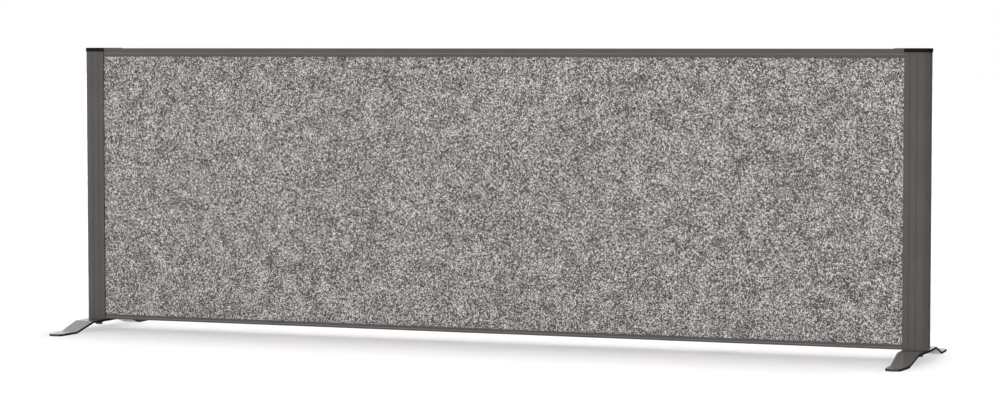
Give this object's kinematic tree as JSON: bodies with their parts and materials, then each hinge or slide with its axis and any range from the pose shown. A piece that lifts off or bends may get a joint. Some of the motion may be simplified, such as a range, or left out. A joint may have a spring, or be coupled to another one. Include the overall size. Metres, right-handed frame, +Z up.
{
  "type": "acoustic divider screen",
  "caption": "Low felt-faced acoustic panel framed by slim rails and grooved extruded posts with plastic caps, standing on bent flat steel feet.",
  "frame": {"origin": "on the table under the middle of the screen: bottom centre of the bounding box", "axes": "+X along the screen to its right-hand post, -Y to the front face seen in the picture, +Z up"},
  "size_m": [1.602, 0.352, 0.5253],
  "materials": {
    "powder_coat": "dark grey powder coat on aluminium, satin",
    "foot_paint": "dark grey powder coat on steel, satin",
    "cap_plastic": "black moulded plastic, satin",
    "bolt_steel": "black oxide",
    "plate_steel": "black passivated zinc",
    "trim_aluminium": "mill finish, hidden in use",
    "core_board": "bare fibreboard, hidden in use",
    "absorber_mat": "pale polyester fleece, hidden in use",
    "felt": "warm grey mottled needle felt"
  },
  "bodies": {
    "screen": {"absorber_front": "absorber_mat", "absorber_rear": "absorber_mat", "bottom_rail": "powder_coat", "bottom_rail_screws": "bolt_steel", "carrier_plate_left": "plate_steel", "carrier_plate_right": "plate_steel", "core_board": "core_board", "edge_trim_left": "trim_aluminium", "edge_trim_right": "trim_aluminium", "felt_front": "felt", "felt_rear": "felt", "foot_bolt_left": "bolt_steel", "foot_bolt_right": "bolt_steel", "foot_washer_left": "bolt_steel", "foot_washer_right": "bolt_steel", "joining_strip_left": "powder_coat", "joining_strip_right": "powder_coat", "post_cap_left": "cap_plastic", "post_cap_right": "cap_plastic", "post_left": "powder_coat", "post_right": "powder_coat", "post_screws": "bolt_steel", "top_rail": "powder_coat", "top_rail_screws": "bolt_steel"},
    "foot_left": {"foot_left": "foot_paint"},
    "foot_right": {"foot_right": "foot_paint"}
  },
  "joints": [
    {"name": "foot_left_swivel", "type": "hinge", "parent": "screen", "child": "foot_left", "pos_m": [-0.784, 0, 0.018], "axis": [0, 0, 1], "continuous": true},
    {"name": "foot_right_swivel", "type": "hinge", "parent": "screen", "child": "foot_right", "pos_m": [0.784, 0, 0.018], "axis": [0, 0, 1], "continuous": true}
  ]
}
